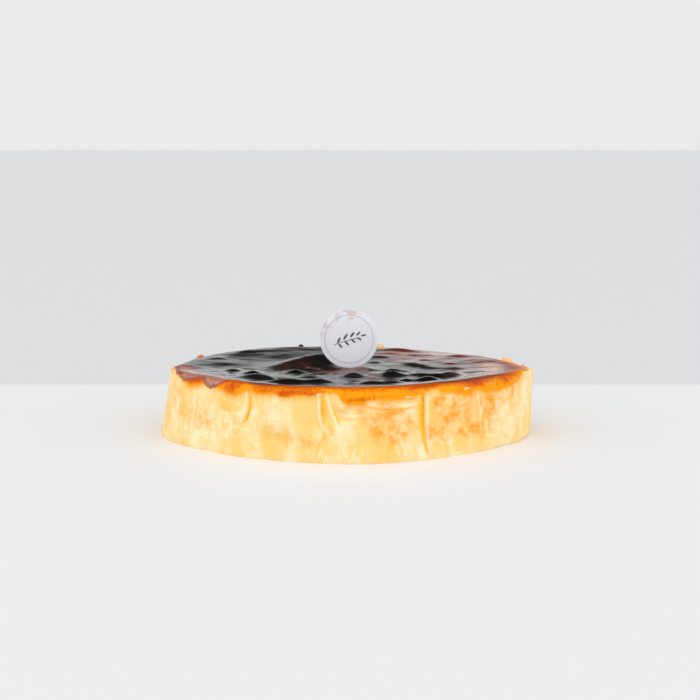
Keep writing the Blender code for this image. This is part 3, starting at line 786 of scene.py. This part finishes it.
# How strongly each thing shows.
skinShares = {
    "cloudWarm": 0.06, "level": 0.4, "streaks": 0.2, "streakRuns": 0.6, "brushedRuns": 0.4,
    "fineSpots": 0.25, "patch": 0.22, "lit": 0.8, "caramelRagged": 0.8, "deep": 0.8, "glintSpots": 1.8,
    "rimRagged": 0.5, "rimPink": 0.8, "burntRagged": 0.7,
}
# Roughness of the custard and how much smoother the glaze is, coats of clear gloss, and depth of relief.
skinGloss = {
    "rough": 0.50, "caramel": 0.16, "burnt": 0.08, "dull": 0.30,
    "caramelCoat": 0.04, "burntCoat": 0.85, "pitCoat": 0.8,
    "streakRelief": 0.5, "rippleRelief": 2.4, "depth": 0.24,
}


def blend(first, second, share):
    return first * (1 - share) + second * share


def cakeFinish():
    finish = Finish("burntCheesecakeSkin", {"IOR": 1.13, "Coat IOR": 1.45, "Coat Roughness": 0.10})
    shade, shares, gloss = cakeColours, skinShares, skinGloss
    place = finish.place()
    noises = {name: finish.noise(finish.stretched(place, stretch), *settings)
              for name, (stretch, *settings) in skinNoises.items()}
    broad, lumps, fine = noises["broad"], noises["lumps"], noises["fine"]
    streaks, brushed = noises["streaks"], noises["brushed"]

    def swing(name, noise):
        return (noise - 0.5) * skinSwings[name]

    def ranged(name, level):
        return finish.ramp(level, *skinRanges[name])

    def stepped(name, level, base):
        for tint, low, high, share in skinSteps[name]:
            base = finish.mix(finish.ramp(level, low, high) * share, base, shade[tint])
        return base

    travel, burn = finish.measured("travel"), finish.measured("burn")
    groove, runs = finish.measured("groove"), finish.measured("dribble")
    ragged = swing("raggedFine", fine) + swing("raggedLumps", lumps)

    # Custard: cloudy, with small runs and orange patches, painted shade in the grooves and painted
    # highlights on the folds.
    warm = finish.measured("warm") + swing("warmBroad", broad) + swing("warmLumps", lumps)
    clouds = noises["clouds"] + warm * shares["cloudWarm"]
    side = stepped("warm", warm, shade["custard"])
    side = stepped("clouds", clouds, side)
    side = stepped("pale", blend(clouds, noises["level"], shares["level"]), side)
    streakShare = ranged("streaks", streaks) * (shares["streaks"] + runs * shares["streakRuns"])
    side = finish.mix(streakShare, side, shade["streakAndGrooveShade"])
    runShare = runs * ranged("runs", blend(streaks, brushed, shares["brushedRuns"]))
    bareSide = finish.mix(runShare, side, shade["paleRunAndHighlight"])
    spots = ranged("spots", blend(lumps, fine, shares["fineSpots"]))
    patchShare = ranged("patch", finish.measured("patch")) * blend(spots, 1, shares["patch"])
    side = finish.mix(patchShare, bareSide, shade["orangePatch"])
    # Painted shade: the grooves and the lap's lower edge drawn amber and darker.
    side = stepped("groove", groove + swing("grooveFine", fine) * ranged("inGroove", groove), side)
    # Painted highlight along each fold's proud edge and above the lap's edge.
    side = finish.mix(finish.measured("lit") * shares["lit"], side, shade["paleRunAndHighlight"])
    side = stepped("halo", travel + ragged, side)

    # Caramel: gold at its lower edge, deeper towards the burnt skin.
    overEdge = travel + ragged * shares["caramelRagged"]
    tone = overEdge / (travel - burn) + swing("caramelBrushed", brushed) + swing("caramelBroad", broad)
    glaze = stepped("caramel", tone + finish.measured("deep") * shares["deep"], shade["gold"])
    skin = finish.mix(ranged("onCaramel", overEdge), side, glaze)
    # Painted highlights: small bright glints on the caramel.
    skin = stepped("glintSpots", finish.measured("glintSpots") * shares["glintSpots"] * fine, skin)
    rimLine = burn + ragged * shares["rimRagged"]
    rimShare = ranged("rimStart", rimLine) * ranged("rimEnd", rimLine)
    skin = finish.mix(rimShare * shares["rimPink"], skin, shade["rimPink"])

    # Burnt skin: red brown at its edge, then tan, brown or black as the zones say.
    brown = finish.measured("brown")
    burnt = stepped("dark", brown + swing("darkLumps", lumps), shade["burnt"])
    burnt = stepped("brown", brown + swing("brownLumps", lumps), burnt)
    over = (burn + ragged * shares["burntRagged"]) / finish.measured("soft")
    burnt = finish.mix(ranged("wellBurnt", over), shade["redBrown"], burnt)
    # Painted sheen: the thin skin over the shoulder drawn greyer and pinker in stripes, lit like the top's
    # reflection.
    striped = finish.mix(ranged("stripes", noises["stripes"]), shade["greyBrown"], shade["greyPink"])
    burnt = finish.mix(finish.measured("paintedSheen") * ranged("paintedSheen", over), burnt, striped)
    top = ranged("onBurnt", over)
    skin = finish.mix(top, skin, burnt)
    skin = finish.mix(ranged("flake", finish.measured("flake")), skin, bareSide)

    glossy, dull = ranged("glossy", travel), finish.measured("dull")
    smoother = gloss["caramel"] * glossy + top * (gloss["burnt"] - gloss["dull"] * dull)
    pits = ranged("pits", noises["pits"]) * top
    topCoat = top * (gloss["burntCoat"] - gloss["burntCoat"] * dull) * (1 - pits * gloss["pitCoat"])
    grain = blend(fine, streaks, gloss["streakRelief"]) * (1 - top)
    finish.surface({
        "Base Color": skin,
        "Roughness": gloss["rough"] - smoother + swing("roughFine", fine),
        "Coat Weight": gloss["caramelCoat"] * glossy + topCoat,
        "Normal": finish.bump(grain + noises["ripple"] * top * gloss["rippleRelief"] - pits, gloss["depth"]),
    })
    return finish.material


# Card: a thin round card on edge, with a ring, a soft wash of beige and a small leafy sprig

card = {
    "radius": 15.5,
    "thickness": 1.2,
    "foot": 33.8,
    "bevel": 0.2,
    "bevelPoints": 4,
    "faceRing": 0.5,            # share of the radius where points run round each face
    "gap": 0.3,
    "dimple": 1.1,              # how softly the skin dips beside the card
    "sides": 160,
    "creaseAngle": 50,
}


def cardMesh():
    # A disc on edge turned from its half profile, its faces to the front and back.
    half, rim, bevel = card["thickness"] / 2, card["radius"], card["bevel"]
    corner = np.linspace(0, pi / 2, card["bevelPoints"])
    outs = rim - bevel + bevel * np.sin(corner)
    depths = half - bevel + bevel * np.cos(corner)
    inner = rim * card["faceRing"]
    profile = [(0.0, -half), (inner, -half), *zip(outs, -depths), *zip(outs[::-1], depths[::-1]),
               (inner, half), (0.0, half)]
    sides = card["sides"]
    turned = 2 * pi * np.arange(sides) / sides
    middle = np.array((cake["footX"], cake["footY"], card["foot"] + card["radius"]))
    points, rings = [], []
    for out, depth in profile:
        if out == 0:
            rings.append(np.full(sides, len(points)))
            points.append((0.0, depth, 0.0))
        else:
            rings.append(len(points) + np.arange(sides))
            points.extend(zip(out * np.cos(turned), np.full(sides, depth), out * np.sin(turned)))
    faces = []
    for near, far in zip(rings, rings[1:]):
        for i in range(sides):
            j = (i + 1) % sides
            corners = (near[i], near[j], far[j], far[i])
            faces.append(tuple(dict.fromkeys(int(c) for c in corners)))
    data = bpy.data.meshes.new("topperDisc")
    data.from_pydata(((np.array(points) + middle) * mm).tolist(), [], faces)
    data.update()
    data.shade_smooth()
    data.set_sharp_from_angle(angle=radians(card["creaseAngle"]))
    return data


cardColours = {
    "paper": colour(249, 250, 255),
    "paperShade": colour(230, 232, 240),
    "ring": colour(205, 192, 226),
    "wash": colour(206, 184, 158),
    "ink": colour(32, 46, 40),
}
# The ring printed near the rim, in mm. Each edge is a share of the half width, from none to full ink.
printedRing = {"radius": 12.9, "halfWidth": 0.28, "outside": 1.4, "inside": 0.5, "share": 0.8}
# The wash at the upper left: its lean, where it starts and is full, and the clouds that break it up.
wash = {"up": 0.8, "left": 0.45, "start": 6.0, "full": 10.0, "grain": 6, "cloudStart": 0.46,
        "cloudFull": 0.60, "share": 0.6}
# The card's fibres: their grain, how far they shade and raise the paper, and its roughness.
fibre = {"grain": 0.35, "shade": 0.12, "depth": 0.02, "rough": 0.42, "roughSwing": 0.1}
frontFade = 0.5                 # mm from the middle of the card to where the print is full
# The sprig's leaves: middle along and up the face, half length, half width, heading.
sprigLeaves = (
    (-5.4, -0.6, 1.7, 0.62, 62), (-4.6, -3.6, 1.6, 0.58, -48), (-1.9, 1.2, 1.9, 0.66, 58),
    (-1.2, -2.2, 1.7, 0.60, -44), (1.7, 2.3, 1.8, 0.62, 52), (2.2, -1.0, 1.6, 0.58, -40),
    (4.9, 2.9, 1.5, 0.54, 46), (5.4, 0.1, 1.4, 0.52, -34), (7.7, 2.0, 1.5, 0.50, 12),
)
sprigStem = {"start": -8.2, "end": 6.6, "slope": 0.24, "level": -0.5, "bend": -0.012,
             "halfWidth": 0.2, "outside": 1.5, "inside": 0.6, "endFade": 0.4}
sprigEdge = {"outside": 1.15, "inside": 0.8, "share": 0.9}


def absolute(finish, value):
    return finish.node("ShaderNodeMath", {"operation": "ABSOLUTE"}, {0: value})


def sprigInk(finish, u, v):
    # 1 on the stem and the leaves, 0 elsewhere.
    stem = sprigStem
    off = absolute(finish, v - (u * stem["slope"] + u * u * stem["bend"] + stem["level"]))
    ink = finish.ramp(off, stem["halfWidth"] * stem["outside"], stem["halfWidth"] * stem["inside"])
    ink = ink * finish.ramp(u, stem["start"], stem["start"] + stem["endFade"])
    ink = ink * finish.ramp(u, stem["end"], stem["end"] - stem["endFade"])
    for middleU, middleV, length, width, heading in sprigLeaves:
        turned = radians(heading)
        along = ((u - middleU) * cos(turned) + (v - middleV) * sin(turned)) / length
        across = ((v - middleV) * cos(turned) - (u - middleU) * sin(turned)) / width
        leaf = finish.ramp(along * along + across * across, sprigEdge["outside"], sprigEdge["inside"])
        ink = finish.node("ShaderNodeMath", {"operation": "MAXIMUM"}, {0: ink, 1: leaf})
    return ink


def cardFinish():
    finish = Finish("printedCard", {"Specular IOR Level": 0.4})
    shade = cardColours
    place = finish.place()
    x, y, z = (finish.node("ShaderNodeSeparateXYZ", {}, {0: place}, axis) for axis in range(3))
    u = (x - cake["footX"] * mm) / mm
    v = (z - (card["foot"] + card["radius"]) * mm) / mm
    out = finish.node("ShaderNodeMath", {"operation": "SQRT"}, {0: u * u + v * v})
    front = finish.ramp(y, cake["footY"] * mm, (cake["footY"] - frontFade) * mm)
    fibres = finish.noise(place, fibre["grain"], 4, 0.6)
    cloud = finish.noise(place, wash["grain"], 4, 0.6)

    paper = finish.mix(fibres * fibre["shade"], shade["paper"], shade["paperShade"])
    washPlace = finish.ramp(v * wash["up"] - u * wash["left"], wash["start"], wash["full"])
    washPlace = washPlace * finish.ramp(cloud, wash["cloudStart"], wash["cloudFull"])
    face = finish.mix(front * washPlace * wash["share"], paper, shade["wash"])
    line, width = printedRing, printedRing["halfWidth"]
    offRing = absolute(finish, out - line["radius"])
    ring = finish.ramp(offRing, width * line["outside"], width * line["inside"])
    face = finish.mix(front * ring * line["share"], face, shade["ring"])
    face = finish.mix(front * sprigInk(finish, u, v) * sprigEdge["share"], face, shade["ink"])
    finish.surface({
        "Base Color": face,
        "Roughness": fibre["rough"] + fibres * fibre["roughSwing"],
        "Normal": finish.bump(fibres, fibre["depth"]),
    })
    return finish.material


def makePiece(name, data, material, node):
    piece = addObject(name, data)
    data.materials.append(material)
    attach(piece, "root")
    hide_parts(node)
    return piece


bakedCake = makePiece("bakedCake", cakeMesh(), cakeFinish(), "cheesecake")
print("cake made:", len(bakedCake.data.vertices), "points")
topperDisc = makePiece("topperDisc", cardMesh(), cardFinish(), "topper_card")
print("card made:", len(topperDisc.data.vertices), "points")


# Studio: a pale table top, a pale backdrop behind it, soft lights and a dim ceiling

studio = {
    "tableFront": -6.0,         # metres
    "tableBack": 0.172,
    "halfWidth": 6.0,
    "backdropBack": 6.0,
    "tableColour": colour(238, 239, 240),
    "backdropColour": colour(224, 225, 227),
    "grainColour": colour(220, 220, 222),
    "grain": 2.0,               # millimetres
    "grainShare": 0.03,
    "wallBright": 0.83,         # brightness of the room at eye level and overhead
    "ceiling": 0.03,
    "wallFades": 0.11,          # sines of the height angles where the pale wall starts and ends to fade
    "wallTop": 0.34,
    "lampSpread": 110,          # degrees across each soft lamp
    "lampHeight": 42,
    "lamps": ((0, 0.85), (-80, 1.75), (80, 1.75)),      # angle round the cake, strength
}


def stagePlane(name, front, back, tint):
    half = studio["halfWidth"]
    corners = [(-half, front, 0), (half, front, 0), (half, back, 0), (-half, back, 0)]
    data = bpy.data.meshes.new(name)
    data.from_pydata(corners, [], [(0, 1, 2, 3)])
    plane = addObject(name, data)
    finish = Finish(name, {"Roughness": 0.7, "Specular IOR Level": 0.2})
    grain = finish.noise(finish.place(), studio["grain"], 2) * studio["grainShare"]
    finish.surface({"Base Color": finish.mix(grain, tint, studio["grainColour"])})
    data.materials.append(finish.material)


def paleRoom():
    world = bpy.data.worlds.new("paleRoom")
    world.use_nodes = True
    bpy.context.scene.world = world
    tree = world.node_tree
    background = tree.nodes["Background"]
    place = tree.nodes.new("ShaderNodeTexCoord")
    parts = tree.nodes.new("ShaderNodeSeparateXYZ")
    tree.links.new(place.outputs["Generated"], parts.inputs[0])
    bright = tree.nodes.new("ShaderNodeMapRange")
    bright.interpolation_type = "SMOOTHSTEP"
    bright.inputs["From Min"].default_value = studio["wallFades"]
    bright.inputs["From Max"].default_value = studio["wallTop"]
    bright.inputs["To Min"].default_value = studio["wallBright"]
    bright.inputs["To Max"].default_value = studio["ceiling"]
    tree.links.new(parts.outputs["Z"], bright.inputs["Value"])
    tree.links.new(bright.outputs[0], background.inputs["Strength"])
    background.inputs["Color"].default_value = (1, 1, 1, 1)


def softLamp(name, angle, strength):
    # A far lamp as broad as a window, at one angle round the cake.
    data = bpy.data.lights.new(name, "SUN")
    data.energy = strength
    data.angle = radians(studio["lampSpread"])
    lamp = addObject(name, data)
    lamp.rotation_euler = (radians(90 - studio["lampHeight"]), 0, radians(angle))


stagePlane("tableTop", studio["tableFront"], studio["tableBack"], studio["tableColour"])
stagePlane("backdrop", studio["tableBack"], studio["backdropBack"], studio["backdropColour"])
paleRoom()
for number, (angle, strength) in enumerate(studio["lamps"]):
    softLamp(f"lamp{number}", angle, strength)
print("studio made")


# Camera: its place from the card's foot, in mm, and how many degrees it looks down

view = {"x": 0.5, "y": -1026.7, "z": 174.7, "dip": 7.29, "lens": 100.2, "sensor": 36}
cameraData = bpy.data.cameras.new("camera")
cameraData.lens = view["lens"]
cameraData.sensor_width = view["sensor"]
camera = addObject("camera", cameraData)
camera.location = ((view["x"] + cake["footX"]) * mm, (view["y"] + cake["footY"]) * mm, view["z"] * mm)
camera.rotation_euler = (radians(90 - view["dip"]), 0, 0)
bpy.context.scene.camera = camera
bpy.context.scene.view_settings.view_transform = "Standard"
